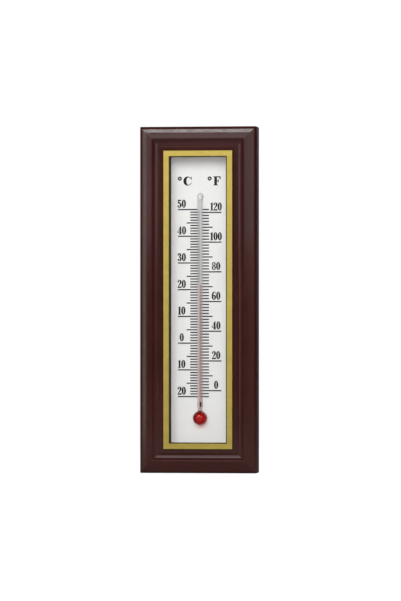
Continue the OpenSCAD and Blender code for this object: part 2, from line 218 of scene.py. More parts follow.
def node(tree, kind, links=None, **settings):
    """Adds a node with its settings. Each entry of links gives a socket a value or joins it to another."""
    made = tree.nodes.new(kind)
    for name, value in settings.items():
        setattr(made, name, value)
    for socket, value in (links or {}).items():
        if isinstance(value, bpy.types.NodeSocket):
            tree.links.new(value, made.inputs[socket])
        else:
            made.inputs[socket].default_value = value
    return made


def start_material(name):
    """A new material with an empty tree, and the place that its patterns are laid out on."""
    material = bpy.data.materials.new(name)
    material.use_nodes = True
    tree = material.node_tree
    tree.nodes.clear()
    return material, tree, node(tree, "ShaderNodeTexCoord").outputs["Object"]


def end_material(tree, shader):
    """Joins the last shader to the material's output."""
    node(tree, "ShaderNodeOutputMaterial", {"Surface": shader})


def grain(tree, place, size, detail=2.0, roughness=0.5):
    """Noise whose spots are about the given size across."""
    return node(
        tree,
        "ShaderNodeTexNoise",
        {"Vector": place, "Scale": 1 / size, "Detail": detail, "Roughness": roughness},
    ).outputs["Fac"]


def spread(tree, value, low, high, start=0.3, end=0.7):
    """A number that goes from low to high as a value goes from start to end. Most noise is in 0.3 to 0.7."""
    return node(
        tree,
        "ShaderNodeMapRange",
        {"Value": value, "From Min": start, "From Max": end, "To Min": low, "To Max": high},
    ).outputs["Result"]


# The Mix node has sockets of the same name for numbers, vectors and colours. These are the colours' places
MIX_A = 6
MIX_B = 7
MIX_COLOUR = 2


def mixed(tree, share, a, b):
    """Two colours mixed by a share, which is the share of the second."""
    made = node(tree, "ShaderNodeMix", {"Factor": share, MIX_A: a, MIX_B: b}, data_type="RGBA")
    return made.outputs[MIX_COLOUR]


def shade(colour, factor):
    """A colour made darker or lighter by a factor."""
    return opaque([min(1, v * factor) for v in colour])


def past_rectangle(tree, place, half_wide, half_high):
    """How far a point lies outside an upright rectangle round the middle, and less than nought inside it."""
    folded = node(tree, "ShaderNodeVectorMath", {0: place}, operation="ABSOLUTE").outputs["Vector"]
    corner = (half_wide, 0, half_high)
    past = node(tree, "ShaderNodeVectorMath", {0: folded, 1: corner}, operation="SUBTRACT")
    axes = node(tree, "ShaderNodeSeparateXYZ", {"Vector": past.outputs["Vector"]}).outputs
    return node(tree, "ShaderNodeMath", {0: axes["X"], 1: axes["Z"]}, operation="MAXIMUM").outputs["Value"]


def distance_from(tree, place, point):
    """How far each place is from a point."""
    return node(
        tree, "ShaderNodeVectorMath", {0: place, 1: point}, operation="DISTANCE"
    ).outputs["Value"]


def clear_for_lamps(tree, shader, tint):
    """Lets lamp light straight through a see-through shader, so that what is behind it is lit."""
    shadow = node(tree, "ShaderNodeLightPath").outputs["Is Shadow Ray"]
    window = node(tree, "ShaderNodeBsdfTransparent", {"Color": opaque(tint)})
    return node(
        tree, "ShaderNodeMixShader", {"Fac": shadow, 1: shader, 2: window.outputs["BSDF"]}
    ).outputs["Shader"]


# Materials

# The walls round this window and round the outside are rougher than the polished face, up to this depth
WINDOW_HALF_WIDE = 16.6 * MM
WINDOW_HALF_HIGH = 82.6 * MM
SIDE_DEPTH = 0.12 * MM
POLISH = 0.12
MATT_WALL = 0.7


def moulded_styrene(colour):
    """High-impact polystyrene with its brown all through, injection moulded.

    The tool was polished where the face is, which gives a soft gloss with the slight waviness of a moulding.
    Its upright side walls, outside and round the window, were left matt so that the moulding comes out of it.
    """
    material, tree, place = start_material("moulded_brown_styrene")
    outside = past_rectangle(tree, place, cad_high.x, cad_high.z)
    side = node(
        tree, "ShaderNodeMath", {0: outside, 1: -SIDE_DEPTH}, operation="GREATER_THAN"
    ).outputs["Value"]
    inside = past_rectangle(tree, place, WINDOW_HALF_WIDE, WINDOW_HALF_HIGH)
    reveal = node(
        tree, "ShaderNodeMath", {0: inside, 1: SIDE_DEPTH}, operation="LESS_THAN"
    ).outputs["Value"]
    matt = node(tree, "ShaderNodeMath", {0: side, 1: reveal}, operation="MAXIMUM").outputs["Value"]
    clouds = spread(tree, grain(tree, place, 18 * MM), 0, 1)
    tone = mixed(tree, clouds, shade(colour, 0.9), shade(colour, 1.12))
    worn = spread(tree, grain(tree, place, 4 * MM, 4.0), POLISH - 0.04, POLISH + 0.05)
    dull = node(
        tree, "ShaderNodeMath", {0: matt, 1: MATT_WALL, 2: worn}, operation="MULTIPLY_ADD"
    ).outputs["Value"]
    # The moulded skin's real grain of 0.2 mm is too fine to show, and is drawn at 0.7 mm
    skin = node(
        tree,
        "ShaderNodeBump",
        {"Strength": 0.07, "Distance": 0.02 * MM, "Height": grain(tree, place, 0.7 * MM, 3.0)},
    )
    body = node(
        tree,
        "ShaderNodeBsdfPrincipled",
        {"Base Color": tone, "Roughness": dull, "Normal": skin.outputs["Normal"], "IOR": 1.5},
    )
    end_material(tree, body.outputs["BSDF"])
    return material


GOLD_AGED = "b08a3a"

# Dark brown is painted at the foot of the bevel, as painted shade of the reveal under the trim, and along
# this much of the outer edge, and fades to gold from there
SHADE_AND_EDGE_BROWN = "1c100b"
DARK_EDGE = 0.2 * MM
DARK_FADE = 0.35 * MM
BEVEL_HALF_WIDE = 16.6 * MM
BEVEL_HALF_HIGH = 82.65 * MM


def foiled_gold(colour):
    """Styrene with a hot-stamped gold foil, so thin that the grain of the moulding sparkles through it.

    Dark brown is painted at the foot of the inner bevel, as painted shade of the reveal below it, and the outer
    edge fades to the same dark brown. Between them the gold is satin, with patches that have dulled to bronze.
    """
    material, tree, place = start_material("hot_stamped_gold_foil")
    # The moulding's grain of about 0.2 mm is too fine to show, and is drawn at 0.6 mm
    sparkle = grain(tree, place, 0.6 * MM, 4.0, 0.75)
    patches = grain(tree, place, 6 * MM, 3.0)
    tone = mixed(tree, spread(tree, sparkle, 0, 1), shade(colour, 0.72), shade(colour, 1.09))
    aged = mixed(tree, spread(tree, patches, 0, 0.18), tone, opaque(linear(GOLD_AGED)))
    dull = spread(tree, sparkle, 0.5, 0.36)
    dents = node(
        tree, "ShaderNodeBump", {"Strength": 0.5, "Distance": 0.04 * MM, "Height": sparkle}
    )
    body = node(
        tree,
        "ShaderNodeBsdfPrincipled",
        {"Base Color": aged, "Metallic": 0.8, "Roughness": dull, "Normal": dents.outputs["Normal"]},
    )
    shade_and_edge_brown = node(
        tree,
        "ShaderNodeBsdfPrincipled",
        {"Base Color": opaque(linear(SHADE_AND_EDGE_BROWN)), "Roughness": 0.6, "IOR": 1.5},
    )
    inner = past_rectangle(tree, place, BEVEL_HALF_WIDE, BEVEL_HALF_HIGH)
    # Painted shade: dark brown at the foot of the inner bevel
    foot = spread(tree, inner, 1, 0, 0, DARK_FADE)
    outer = past_rectangle(tree, place, trim_high.x, trim_high.z)
    edge = spread(tree, outer, 0, 1, -DARK_EDGE - DARK_FADE, -DARK_EDGE)
    painted_shade_and_edge = node(tree, "ShaderNodeMath", {0: foot, 1: edge}, operation="MAXIMUM").outputs["Value"]
    both = node(
        tree, "ShaderNodeMixShader", {"Fac": painted_shade_and_edge, 1: body.outputs["BSDF"], 2: shade_and_edge_brown.outputs["BSDF"]}
    )
    end_material(tree, both.outputs["Shader"])
    return material


def white_lacquer(colour):
    """Aluminium sheet with a baked white lacquer. It is smooth and satin, with a faint cloudiness."""
    material, tree, place = start_material("baked_white_lacquer")
    clouds = spread(tree, grain(tree, place, 9 * MM, 3.0), 0, 1)
    tone = mixed(tree, clouds, shade(colour, 0.985), shade(colour, 1.015))
    dull = spread(tree, grain(tree, place, 1.2 * MM, 3.0), 0.34, 0.42)
    skin = node(
        tree,
        "ShaderNodeBump",
        {"Strength": 0.08, "Distance": 0.01 * MM, "Height": grain(tree, place, 0.6 * MM)},
    )
    body = node(
        tree,
        "ShaderNodeBsdfPrincipled",
        {"Base Color": tone, "Roughness": dull, "Normal": skin.outputs["Normal"], "IOR": 1.5},
    )
    end_material(tree, body.outputs["BSDF"])
    return material


SPECK_GREY = "1d1b1a"


def screen_ink(colour):
    """Screen-printed black ink. It lies a little uneven, so its black is broken by fine paler specks."""
    material, tree, place = start_material("screen_printed_ink")
    specks = grain(tree, place, 0.25 * MM, 3.0)
    tone = mixed(tree, spread(tree, specks, 0, 1, 0.45, 0.75), opaque(colour), opaque(linear(SPECK_GREY)))
    dull = spread(tree, specks, 0.45, 0.6)
    body = node(tree, "ShaderNodeBsdfPrincipled", {"Base Color": tone, "Roughness": dull, "IOR": 1.5})
    end_material(tree, body.outputs["BSDF"])
    return material


# How much pale grey is painted on the bend in place of light that the glass carries round it, out to the first
# of two distances from its middle. From the second on it is clear
BEND_PAINTED_GREY = "dededc"
BEND_PAINTED_SHARE = 0.85
BEND_PAINT_FULL = 1.2 * MM
BEND_PAINT_END = 2.3 * MM


def drawn_glass(tint):
    """Drawn thermometer glass, flame worked at the bulb and the bend. Its surface is perfectly smooth.

    The spirit wets the bulb's inside, so no film of air shows there and the inner wall is left clear. The
    bend is painted pale grey in place of light that the glass carries round it, so its end reads as a small
    grey ring.
    """
    material, tree, place = start_material("drawn_clear_glass")
    body = node(
        tree,
        "ShaderNodeBsdfPrincipled",
        {"Base Color": opaque(tint), "Roughness": 0.0, "IOR": 1.5, "Transmission Weight": 1.0},
    )
    wetted = node(tree, "ShaderNodeBsdfTransparent", {"Color": opaque((1, 1, 1))})
    inside = node(
        tree,
        "ShaderNodeMath",
        {0: distance_from(tree, place, BULB_CENTRE), 1: SPIRIT_RADIUS + HALF_WALL},
        operation="LESS_THAN",
    ).outputs["Value"]
    clear = node(
        tree, "ShaderNodeMixShader", {"Fac": inside, 1: body.outputs["BSDF"], 2: wetted.outputs["BSDF"]}
    )
    upright = node(
        tree, "ShaderNodeVectorMath", {0: place, 1: (1, 0, 1)}, operation="MULTIPLY"
    ).outputs["Vector"]
    away = distance_from(tree, upright, TAIL_PLACE)
    # Painted light: pale grey on the bend, in place of light carried round it by the glass
    painted_bend = spread(tree, away, BEND_PAINTED_SHARE, 0, BEND_PAINT_FULL, BEND_PAINT_END)
    painted_grey = node(tree, "ShaderNodeBsdfDiffuse", {"Color": opaque(linear(BEND_PAINTED_GREY))})
    glass = node(
        tree, "ShaderNodeMixShader", {"Fac": painted_bend, 1: clear.outputs["Shader"], 2: painted_grey.outputs["BSDF"]}
    )
    end_material(tree, clear_for_lamps(tree, glass.outputs["Shader"], tint))
    return material


# The point where light is painted on the bulb, and the distances from it between which painted shade darkens
# the red
BULB_PAINTED_LIGHT = BULB_CENTRE + Vector((0.9, -2.6, -1.1)) * MM
BULB_SHADE_START = 2.4 * MM
BULB_SHADE_FULL = 4.4 * MM


def dyed_spirit(colour):
    """Alcohol with a red dye, seen several millimetres deep: a saturated red that still lets light through.

    The red is painted lighter low in the bulb's front and darker towards the upper left, as painted light and
    shade, and a random mottle of lighter and darker red is painted in place of glints.
    """
    material, tree, place = start_material("dyed_red_spirit")
    # Painted glints: a random mottle of lighter and darker red
    painted_glint_mottle = spread(tree, grain(tree, place, 1.3 * MM, 2.0), 0, 1)
    tone = mixed(tree, painted_glint_mottle, shade(colour, 0.5), shade(colour, 1.4))
    # Painted light and shade: the red is lightest near a point low in the front and darkest far from it
    depth = spread(tree, distance_from(tree, place, BULB_PAINTED_LIGHT), 0, 1, BULB_SHADE_START, BULB_SHADE_FULL)
    tone = mixed(tree, depth, tone, shade(colour, 0.26))
    body = node(
        tree,
        "ShaderNodeBsdfPrincipled",
        {"Base Color": tone, "Roughness": 0.05, "IOR": 1.36, "Transmission Weight": 0.2},
    )
    end_material(tree, clear_for_lamps(tree, body.outputs["BSDF"], colour))
    return material


def thin_spirit(top, foot):
    """The same spirit in the flat bore, a tenth of a millimetre thick, so it only tints what is behind it."""
    material, tree, place = start_material("thin_red_spirit")
    height = node(tree, "ShaderNodeSeparateXYZ", {"Vector": place}).outputs["Z"]
    depth = spread(tree, height, 1, 0, thread_low.z, tip_high.z)
    tint = mixed(tree, depth, opaque(top), opaque(foot))
    end_material(tree, node(tree, "ShaderNodeBsdfTransparent", {"Color": tint}).outputs["BSDF"])
    return material


def silicone_rubber(colour):
    """Moulded silicone rubber, pale grey and matte, with a bloom of paler dust in its pores."""
    material, tree, place = start_material("moulded_silicone_rubber")
    pores = grain(tree, place, 0.3 * MM, 4.0)
    tone = mixed(tree, spread(tree, pores, 0, 1), shade(colour, 0.8), shade(colour, 1.35))
    skin = node(tree, "ShaderNodeBump", {"Strength": 0.3, "Distance": 0.03 * MM, "Height": pores})
    body = node(
        tree,
        "ShaderNodeBsdfPrincipled",
        {
            "Base Color": tone,
            "Roughness": spread(tree, pores, 0.65, 0.8),
            "Normal": skin.outputs["Normal"],
        },
    )
    end_material(tree, body.outputs["BSDF"])
    return material


def polyethylene_foam(colour):
    """Closed-cell polyethylene foam, split into a sheet. The knife lays its cells open as small pits, painted
    darker as shade.
    """
    material, tree, place = start_material("closed_cell_foam")
    cells = node(
        tree, "ShaderNodeTexVoronoi", {"Vector": place, "Scale": 1 / (0.6 * MM), "Randomness": 0.9}
    ).outputs["Distance"]
    # Painted shade: the opened cells are darker
    pits_and_painted_shade = spread(tree, cells, 0, 1, 0.1, 0.6)
    tone = mixed(tree, pits_and_painted_shade, shade(colour, 0.55), shade(colour, 1.08))
    skin = node(tree, "ShaderNodeBump", {"Strength": 0.7, "Distance": 0.2 * MM, "Height": pits_and_painted_shade})
    body = node(
        tree,
        "ShaderNodeBsdfPrincipled",
        {"Base Color": tone, "Roughness": 0.95, "Normal": skin.outputs["Normal"]},
    )
    end_material(tree, body.outputs["BSDF"])
    return material


def textured_styrene(colour):
    """The back's polystyrene, moulded in a spark-eroded tool: a fine and even matte texture."""
    material, tree, place = start_material("spark_textured_styrene")
    pebbles = node(
        tree, "ShaderNodeTexVoronoi", {"Vector": place, "Scale": 1 / (0.5 * MM), "Randomness": 1.0}
    ).outputs["Distance"]
    scuffs = grain(tree, place, 14 * MM, 4.0)
    tone = mixed(tree, spread(tree, scuffs, 0, 1), shade(colour, 0.9), shade(colour, 1.2))
    skin = node(
        tree,
        "ShaderNodeBump",
        {"Strength": 0.35, "Distance": 0.04 * MM, "Height": spread(tree, pebbles, 0, 1, 0.1, 0.6)},
    )
    body = node(
        tree,
        "ShaderNodeBsdfPrincipled",
        {
            "Base Color": tone,
            "Roughness": spread(tree, pebbles, 0.5, 0.62, 0.1, 0.6),
            "Normal": skin.outputs["Normal"],
        },
    )
    end_material(tree, body.outputs["BSDF"])
    return material


def plated_zinc(colour):
    """Cold-headed steel screws with bright zinc plating, a little uneven and with a blue-grey cast."""
    material, tree, place = start_material("bright_zinc_plating")
    patches = grain(tree, place, 1.1 * MM, 3.0)
    tone = mixed(tree, spread(tree, patches, 0, 1), shade(colour, 0.8), shade(colour, 1.1))
    skin = node(
        tree,
        "ShaderNodeBump",
        {"Strength": 0.2, "Distance": 0.02 * MM, "Height": grain(tree, place, 0.3 * MM, 3.0)},
    )
    body = node(
        tree,
        "ShaderNodeBsdfPrincipled",
        {
            "Base Color": tone,
            "Metallic": 1.0,
            "Roughness": spread(tree, patches, 0.25, 0.4),
            "Normal": skin.outputs["Normal"],
        },
    )
    end_material(tree, body.outputs["BSDF"])
    return material


def give_material(part, material):
    """Puts one material on every slot of a part."""
    if not part.material_slots:
        part.data.materials.append(material)
    for slot in part.material_slots:
        slot.material = material


# Shapes

def finish_piece(bm, name, material, body=HOUSING):
    """Turns a bmesh into a piece that takes a material slot's finish and rides on a body."""
    bmesh.ops.remove_doubles(bm, verts=bm.verts, dist=MM * 1e-4)
    bmesh.ops.recalc_face_normals(bm, faces=bm.faces)
    mesh = bpy.data.meshes.new(name)
    bm.to_mesh(mesh)
    bm.free()
    piece = bpy.data.objects.new(name, mesh)
    bpy.context.scene.collection.objects.link(piece)
    give_material(piece, material)
    if body:
        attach(piece, body)
    return piece


def softened_copy(source, rounding, segments):
    """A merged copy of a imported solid, with its hard edges rounded as soft material has them."""
    bm = bmesh.new()
    bm.from_mesh(source.data)
    bmesh.ops.remove_doubles(bm, verts=bm.verts, dist=MM * 1e-3)
    bmesh.ops.dissolve_limit(bm, angle_limit=math.radians(1), verts=bm.verts, edges=bm.edges)
    hard = [e for e in bm.edges if e.is_manifold and e.calc_face_angle() > math.radians(60)]
    bmesh.ops.bevel(
        bm,
        geom=hard,
        offset=rounding,
        segments=segments,
        profile=0.5,
        affect="EDGES",
        clamp_overlap=True,
        material=-1,
    )
    for face in bm.faces:
        face.smooth = True
    return bm


# Glyphs, drawn on a grid whose figures and capitals are 100 high

# Widths of the thick and thin strokes and of the nought, and how far its curves pass the foot and the top
STEM = 22
HAIR = 8
ROUND = 53
OVERSHOOT = 1


def arc(x, y, wide, high, start, end, steps=14):
    """Points on an ellipse about (x, y), from one angle to another in degrees."""
    turns = [math.radians(start + (end - start) * i / steps) for i in range(steps + 1)]
    return [(x + wide * math.cos(t), y + high * math.sin(t)) for t in turns]


def ring(x, y, wide, high, steps=28):
    """A whole ellipse."""
    return arc(x, y, wide, high, 0, 360, steps)[:-1]


def figure(sign):
    """Width and outlines of one sign of the scale. The first outline is its edge, the others its holes."""
    half = ROUND / 2
    if sign == "0":
        return ROUND, [
            ring(half, 50, half, 50 + OVERSHOOT),
            ring(half, 50, half - STEM, 50 + OVERSHOOT - HAIR),
        ]
    if sign == "1":
        foot = [(0, 0), (38, 0), (38, HAIR), (30, HAIR)]
        flag = [(30, 101), (25, 101), (0, 88), (0, 80), (30 - STEM, 85)]
        return 38, [foot + flag + [(30 - STEM, HAIR), (0, HAIR)]]
    if sign == "2":
        bowl = arc(25, 73, 26, 28, 180, -28)
        foot = [(13, 17), (38, 17), (46, 26), (51, 26), (49, 0), (0, 0), (0, 7)]
        inner = arc(20, 73, 31 - STEM, 28 - HAIR, -38, 130)
        ball = arc(10, 76, 9.5, 9.5, 40, -170)
        return 51, [bowl + foot + inner + ball]
    if sign == "3":
        upper = arc(23, 76, 24, 25, 170, -62)
        lower = arc(24, 27, 27, 28, 68, -168)
        low_ball = arc(10, 22, 9.5, 9.5, 190, 0)
        low_inner = arc(20, 27, 31 - STEM, 28 - HAIR, -130, 75)
        waist = [(17, 50), (17, 54)]
        high_inner = arc(18, 76, 29 - STEM, 25 - HAIR, -75, 130)
        high_ball = arc(10, 79, 9.5, 9.5, 40, -170)
        return 51, [upper + lower + low_ball + low_inner + waist + high_inner + high_ball]
    if sign == "4":
        edge = [(37, 101), (48, 101), (48, 32), (56, 32), (56, 24), (48, 24), (48, HAIR), (55, HAIR)]
        foot = [(55, 0), (18, 0), (18, HAIR), (48 - STEM, HAIR), (48 - STEM, 24), (0, 24), (0, 32)]
        return 56, [edge + foot, [(9, 32), (48 - STEM, 32), (48 - STEM, 76)]]
    if sign == "5":
        flag = [(4, 100), (46, 100), (43, 83), (4 + HAIR, 83), (4 + HAIR, 57)]
        bowl = arc(23, 31, 28, 32, 118, -168)
        ball = arc(10, 24, 9.5, 9.5, 190, 0)
        inner = arc(18, 31, 33 - STEM, 32 - HAIR, -130, 120)
        return 51, [flag + bowl + ball + inner + [(4, 50)]]
    if sign == "6":
        tail = arc(29, 50, 29, 51, 62, 180)
        foot = arc(27, 31, 27, 32, 180, 360)
        crown = arc(27, 31, 27, 32, 0, 112)
        inner = arc(31, 50, 31 - STEM, 51 - HAIR, 150, 75)
        ball = arc(42, 82, 9, 9, 100, -60)
        return 54, [tail + foot + crown + inner + ball, ring(27, 31, 27 - STEM, 32 - HAIR)]
    if sign == "8":
        upper = arc(25, 76, 23, 25, -52, 232)
        lower = arc(25, 28, 26, 29, 122, 418)
        return 51, [upper + lower, ring(25, 76, 7, 18), ring(25, 27, 8, 21)]
    if sign == "C":
        back = arc(46, 50, 46, 51, 48, 312, 20)
        low_end = [(90, 22), (94, 34), (91, 35), (82, 19)]
        inner = arc(57, 50, 23, 42, 316, 44, 20)
        beak = [(84, 78), (89, 62), (93, 62), (93, 100), (90, 100), (86, 91)]
        return 94, [back + low_end + inner + beak]
    if sign == "F":
        top = [(0, 101), (80, 101), (80, 64), (73, 64), (66, 86), (58, 91), (40, 91), (40, 55)]
        arm = [(47, 55), (51, 60), (53, 68), (59, 68), (59, 33), (53, 33), (51, 41), (47, 46), (40, 46)]
        foot = [(40, 9), (51, HAIR), (51, 0), (0, 0), (0, HAIR), (10, 9), (10, 92), (0, 93)]
        return 80, [top + arm + foot]
    raise ValueError(f"the scale has no sign {sign}")


def press(bm, loops, x, z, scale):
    """Prints one sign's outlines on the plate, as thick as the ink of the lines."""
    edges = []
    for loop in loops:
        points = [bm.verts.new((x + u * scale, PLATE_FRONT, z + v * scale)) for u, v in loop]
        edges += [bm.edges.new((points[i - 1], points[i])) for i in range(len(points))]
    filled = bmesh.ops.triangle_fill(
        bm, use_beauty=True, use_dissolve=True, edges=edges, normal=(0, -1, 0)
    )
    faces = [f for f in filled["geom"] if isinstance(f, bmesh.types.BMFace)]
    grown = bmesh.ops.extrude_face_region(bm, geom=faces, use_keep_orig=True)
    raised = [v for v in grown["geom"] if isinstance(v, bmesh.types.BMVert)]
    bmesh.ops.translate(bm, verts=raised, vec=(0, INK_FRONT - PLATE_FRONT, 0))


def press_number(bm, text, middle, foot, settings):
    """Prints a number so that its middle is at a place across the plate."""
    scale = settings.figure_height / 100
    signs = [figure(sign) for sign in text]
    width = sum(w for w, _ in signs) * scale + settings.figure_gap * (len(signs) - 1)
    x = middle - width / 2
    for wide, loops in signs:
        press(bm, loops, x, foot, scale)
        x += wide * scale + settings.figure_gap


# The height of a degree ring's middle on the letter's grid, and how much of its radius is open
RING_HEIGHT = 77
RING_HOLE = 0.36

# Places across the plate of the rings' middles and of the letters' left edges
CELSIUS_RING = -11.6 * MM
CELSIUS_LETTER = -9.5 * MM
FAHRENHEIT_RING = 5.85 * MM
FAHRENHEIT_LETTER = 8.05 * MM


def press_heading(bm, letter, ring_x, letter_x, settings):
    """Prints a degree ring and its letter."""
    scale = settings.heading_height / 100
    foot = TOP_LINE + settings.heading_foot
    outer = settings.ring_radius / scale
    inner = outer * RING_HOLE
    loops = [ring(0, RING_HEIGHT, outer, outer), ring(0, RING_HEIGHT, inner, inner)]
    press(bm, loops, ring_x, foot, scale)
    press(bm, figure(letter)[1], letter_x, foot, scale)


def box_between(bm, low, high):
    """A box between two corners."""
    made = bmesh.ops.create_cube(bm, size=1)["verts"]
    bmesh.ops.scale(bm, vec=high - low, verts=made)
    bmesh.ops.translate(bm, vec=(low + high) / 2, verts=made)


# Left and right sides of the marks under the tube, measured from its axis. The round glass shows them about
# five times as wide. The marks of the two rows are as high as a line, and the dash stands above the bulb
FAHRENHEIT_MARK = (-0.19 * MM, -0.12 * MM)
CELSIUS_MARK = (-0.4 * MM, -0.35 * MM)
DASH = (-0.28 * MM, -0.1 * MM)
DASH_FOOT = -61.9 * MM
DASH_TOP = -59 * MM

# Temperatures that have a number, and those that have a mark under the tube
CELSIUS_NUMBERED = range(COLDEST, WARMEST + 1, 10)
FAHRENHEIT_NUMBERED = range(0, 121, 20)
CELSIUS_MARKED = range(23, WARMEST)
FAHRENHEIT_MARKED = range(-4, 71, 2)


def press_mark(bm, sides, foot, top):
    """Prints an upright mark under the tube."""
    low = Vector((STEM_X + sides[0], INK_FRONT, foot))
    high = Vector((STEM_X + sides[1], PLATE_FRONT, top))
    box_between(bm, low, high)


# Operators

class ThermometerOperator:
    """What all the operators share."""

    bl_options = {"REGISTER", "UNDO"}


class OBJECT_OT_thermometer_frame(ThermometerOperator, bpy.types.Operator):
    """Give the frame its moulded brown finish"""

    bl_idname = "object.thermometer_frame"
    bl_label = "Frame"

    def execute(self, context):
        settings = context.scene.thermometer_housing
        give_material(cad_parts["frame"], moulded_styrene(settings.frame_colour))
        return {"FINISHED"}


class OBJECT_OT_thermometer_trim(ThermometerOperator, bpy.types.Operator):
    """Give the trim its gold foil"""

    bl_idname = "object.thermometer_trim"
    bl_label = "Gold Trim"

    def execute(self, context):
        settings = context.scene.thermometer_housing
        give_material(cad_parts["gold_trim"], foiled_gold(settings.trim_colour))
        return {"FINISHED"}


class OBJECT_OT_thermometer_plate(ThermometerOperator, bpy.types.Operator):
    """Lacquer the plate and ink its lines"""

    bl_idname = "object.thermometer_plate"
    bl_label = "Scale Plate"

    def execute(self, context):
        settings = context.scene.thermometer_scale
        give_material(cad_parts["scale_plate"], white_lacquer(settings.plate_colour))
        ink = screen_ink(settings.ink_colour)
        for lines in ("celsius_lines", "fahrenheit_lines"):
            give_material(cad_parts[lines], ink)
        return {"FINISHED"}


class OBJECT_OT_thermometer_figures(ThermometerOperator, bpy.types.Operator):
    """Print the numbers, the headings and the marks under the tube"""

    bl_idname = "object.thermometer_figures"
    bl_label = "Printed Figures"

    def execute(self, context):
        settings = context.scene.thermometer_scale
        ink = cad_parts["celsius_lines"].material_slots[0].material
        left = bmesh.new()
        for degrees in CELSIUS_NUMBERED:
            foot = celsius_height(degrees) + settings.figure_lift
            press_number(left, str(abs(degrees)), -settings.celsius_middle, foot, settings)
        finish_piece(left, "celsius_numbers", ink)
        right = bmesh.new()
        for degrees in FAHRENHEIT_NUMBERED:
            foot = fahrenheit_height(degrees) + settings.figure_lift
            press_number(right, str(degrees), settings.fahrenheit_middle, foot, settings)
        finish_piece(right, "fahrenheit_numbers", ink)
        headings = bmesh.new()
        press_heading(headings, "C", CELSIUS_RING, CELSIUS_LETTER, settings)
        press_heading(headings, "F", FAHRENHEIT_RING, FAHRENHEIT_LETTER, settings)
        finish_piece(headings, "degree_headings", ink)
        marks = bmesh.new()
        for degrees in FAHRENHEIT_MARKED:
            z = fahrenheit_height(degrees)
            press_mark(marks, FAHRENHEIT_MARK, z - LINE_HEIGHT / 2, z + LINE_HEIGHT / 2)
        for degrees in CELSIUS_MARKED:
            z = celsius_height(degrees)
            press_mark(marks, CELSIUS_MARK, z - LINE_HEIGHT / 2, z + LINE_HEIGHT / 2)
        press_mark(marks, DASH, DASH_FOOT, DASH_TOP)
        finish_piece(marks, "tube_marks", ink)
        return {"FINISHED"}


class OBJECT_OT_thermometer_tube(ThermometerOperator, bpy.types.Operator):
    """Make the tube clear glass"""

    bl_idname = "object.thermometer_tube"
    bl_label = "Glass Tube"

    def execute(self, context):
        settings = context.scene.thermometer_tube
        give_material(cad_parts["glass_tube"], drawn_glass(settings.glass_tint))
        return {"FINISHED"}


# Cuts along the column, so that it stretches evenly, and across the tip, so that its top takes a curve. The
# curve is this deep as a share of half the bore's width
COLUMN_CUTS = 60
TIP_CUTS = 11
TIP_CURVE = 0.4


class OBJECT_OT_thermometer_spirit(ThermometerOperator, bpy.types.Operator):
    """Fill the bulb and the bore with red spirit"""

    bl_idname = "object.thermometer_spirit"
    bl_label = "Red Spirit"

    def execute(self, context):
        settings = context.scene.thermometer_tube
        give_material(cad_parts["bulb_spirit"], dyed_spirit(settings.spirit_colour))
        thin = thin_spirit(settings.thread_top, settings.thread_foot)

        column = bmesh.new()
        box_between(column, thread_low, thread_high)
        upright = [e for e in column.edges if abs(e.verts[0].co.z - e.verts[1].co.z) > MM]
        bmesh.ops.subdivide_edges(column, edges=upright, cuts=COLUMN_CUTS, use_grid_fill=True)
        thread = finish_piece(column, "spirit_column", thin, body=None)
        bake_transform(thread)
        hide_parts("spirit_thread")

        top = bmesh.new()
        box_between(top, tip_low, tip_high)
        across = [e for e in top.edges if abs(e.verts[0].co.x - e.verts[1].co.x) > MM / 2]
        bmesh.ops.subdivide_edges(top, edges=across, cuts=TIP_CUTS, use_grid_fill=True)
        half = (tip_high.x - tip_low.x) / 2
        for vertex in top.verts:
            if vertex.co.z > tip_high.z - MM / 10:
                # This parabola stands over the plate's middle, so in the bore it climbs to the right
                vertex.co.z -= TIP_CURVE * half * (1 - (vertex.co.x / half) ** 2)
        tip = finish_piece(top, "spirit_meniscus", thin, body=SPIRIT_LEVEL)
        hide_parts("thread_tip")
        return {"FINISHED"}


class OBJECT_OT_thermometer_sleeve(ThermometerOperator, bpy.types.Operator):
    """Mould the rubber sleeve that grips the tube's bent end"""

    bl_idname = "object.thermometer_sleeve"
    bl_label = "Rubber Sleeve"

    def execute(self, context):
        settings = context.scene.thermometer_housing
        bm = softened_copy(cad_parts["tail_sleeve"], settings.rubber_edge, segments=4)
        sleeve = finish_piece(bm, "rubber_sleeve", silicone_rubber(settings.rubber_colour))
        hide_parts("tail_sleeve")
        return {"FINISHED"}


class OBJECT_OT_thermometer_foam(ThermometerOperator, bpy.types.Operator):
    """Cut the sheet of foam behind the plate"""

    bl_idname = "object.thermometer_foam"
    bl_label = "Foam Backing"

    def execute(self, context):
        settings = context.scene.thermometer_housing
        bm = softened_copy(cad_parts["foam_backing"], settings.foam_edge, segments=3)
        foam = finish_piece(bm, "foam_sheet", polyethylene_foam(settings.foam_colour))
        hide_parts("foam_backing")
        return {"FINISHED"}


class OBJECT_OT_thermometer_cover(ThermometerOperator, bpy.types.Operator):
    """Give the back cover its matte moulded texture"""

    bl_idname = "object.thermometer_cover"
    bl_label = "Back Cover"

    def execute(self, context):
        settings = context.scene.thermometer_housing
        give_material(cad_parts["back_cover"], textured_styrene(settings.cover_colour))
        return {"FINISHED"}


class OBJECT_OT_thermometer_screws(ThermometerOperator, bpy.types.Operator):
    """Plate the cover's screws"""

    bl_idname = "object.thermometer_screws"
    bl_label = "Cover Screws"

    def execute(self, context):
        settings = context.scene.thermometer_housing
        give_material(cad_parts["cover_screws"], plated_zinc(settings.zinc_colour))
        return {"FINISHED"}


# Stage

# The camera's film is as wide as the picture is high, and its focal length is in the picture's pixels
PICTURE_HEIGHT = 601
FILM = 36.0
FOCAL_PIXELS = 4184.4
CAMERA_PLACE = Vector((335.11, -2400, -20.62)) * MM
CAMERA_YAW = math.radians(7.952)
CAMERA_PITCH = math.radians(0.48)

